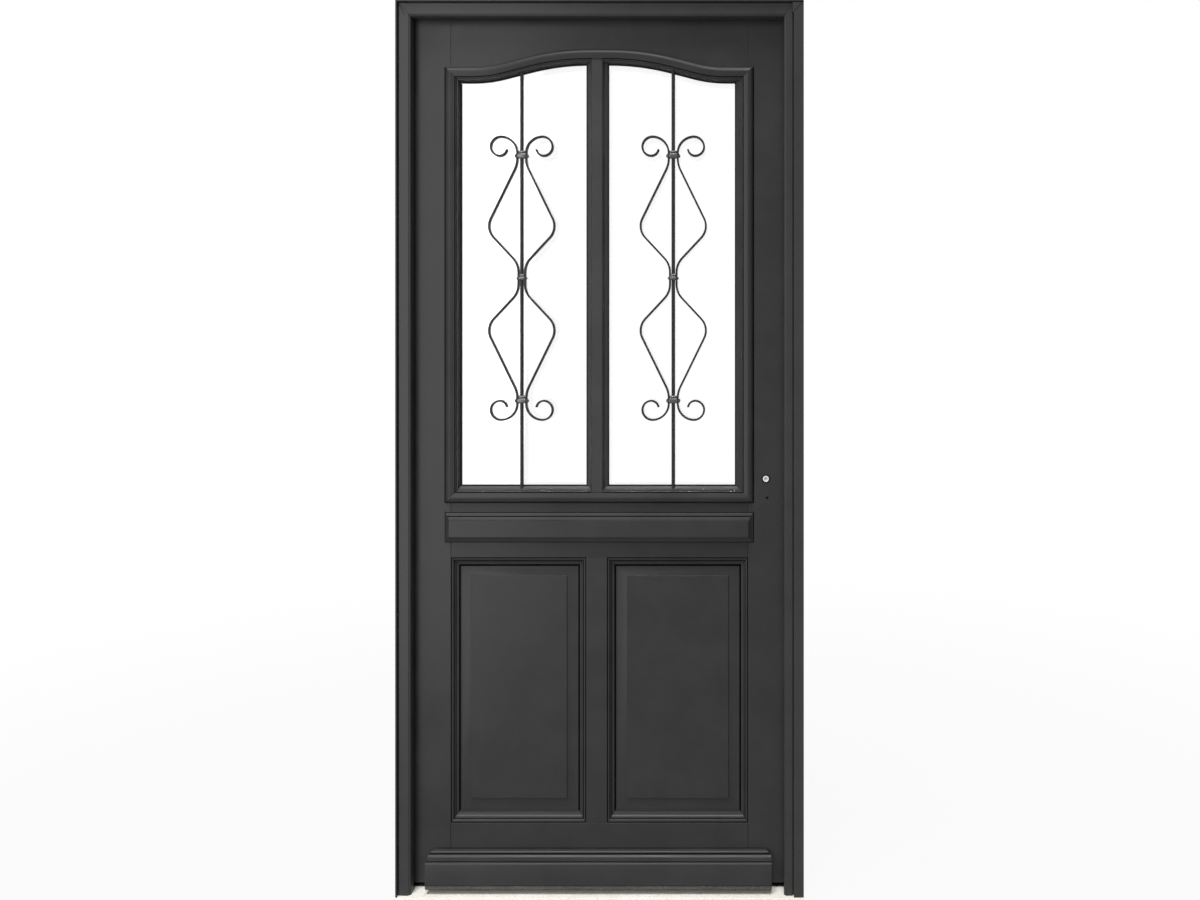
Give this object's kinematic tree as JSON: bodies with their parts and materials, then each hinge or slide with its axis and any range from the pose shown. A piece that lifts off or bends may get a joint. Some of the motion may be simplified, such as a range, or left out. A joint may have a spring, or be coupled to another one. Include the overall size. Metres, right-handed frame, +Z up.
{
  "type": "glazed wooden front door",
  "caption": "Painted wooden entrance door with an arched glazed upper half, scrolled iron grilles, raised lower panels and a weatherboard, hung in its frame on a low threshold.",
  "frame": {"origin": "on the underside of the threshold, below the middle of the clear opening, in the plane of the frame's trim strips", "axes": "+X from the hinge side to the lock side as seen from outside, +Y from outside to inside, +Z up"},
  "size_m": [0.981, 0.1215, 2.188],
  "materials": {
    "painted_wood": "satin dark anthracite grey paint over solid timber",
    "sill": "pale speckled composite threshold",
    "seal": "black gasket",
    "glass": "clear double glazing",
    "forged_iron": "dark grey lacquered forged iron",
    "hinge_steel": "hinges lacquered in the door's grey",
    "lock_steel": "satin steel lock furniture",
    "bush": "white moulded bush"
  },
  "bodies": {
    "frame": {"threshold": "sill", "threshold_bar": "seal", "hinge_jamb": "painted_wood", "lock_jamb": "painted_wood", "frame_head": "painted_wood", "trim_strip_hinge": "painted_wood", "trim_strip_lock": "painted_wood", "trim_strip_head": "painted_wood", "frame_seal": "seal", "hinge_pins": "hinge_steel", "strike_plate": "lock_steel"},
    "leaf": {"bottom_rail": "painted_wood", "collars_left": "forged_iron", "collars_right": "forged_iron", "faceplate": "lock_steel", "follower_bush": "bush", "glass_left": "glass", "glass_right": "glass", "glazing_bead": "painted_wood", "grille_bar_left": "forged_iron", "grille_bar_right": "forged_iron", "hinge_sockets": "hinge_steel", "hinge_stile": "painted_wood", "inner_moulding_left": "painted_wood", "inner_moulding_right": "painted_wood", "lock_case": "lock_steel", "lock_rail": "painted_wood", "lock_stile": "painted_wood", "lower_muntin": "painted_wood", "moulding_bottom": "painted_wood", "moulding_left": "painted_wood", "moulding_right": "painted_wood", "moulding_top": "painted_wood", "mullion": "painted_wood", "panel_left": "painted_wood", "panel_moulding_left": "painted_wood", "panel_moulding_right": "painted_wood", "panel_right": "painted_wood", "rail_band": "painted_wood", "scrolls_left": "forged_iron", "scrolls_right": "forged_iron", "top_rail": "painted_wood", "weatherboard": "painted_wood"}
  },
  "joints": [
    {"name": "leaf_swing", "type": "hinge", "parent": "frame", "child": "leaf", "pos_m": [-0.464, 0.109, 1], "axis": [0, 0, 1], "range_deg": [0, 110]}
  ]
}
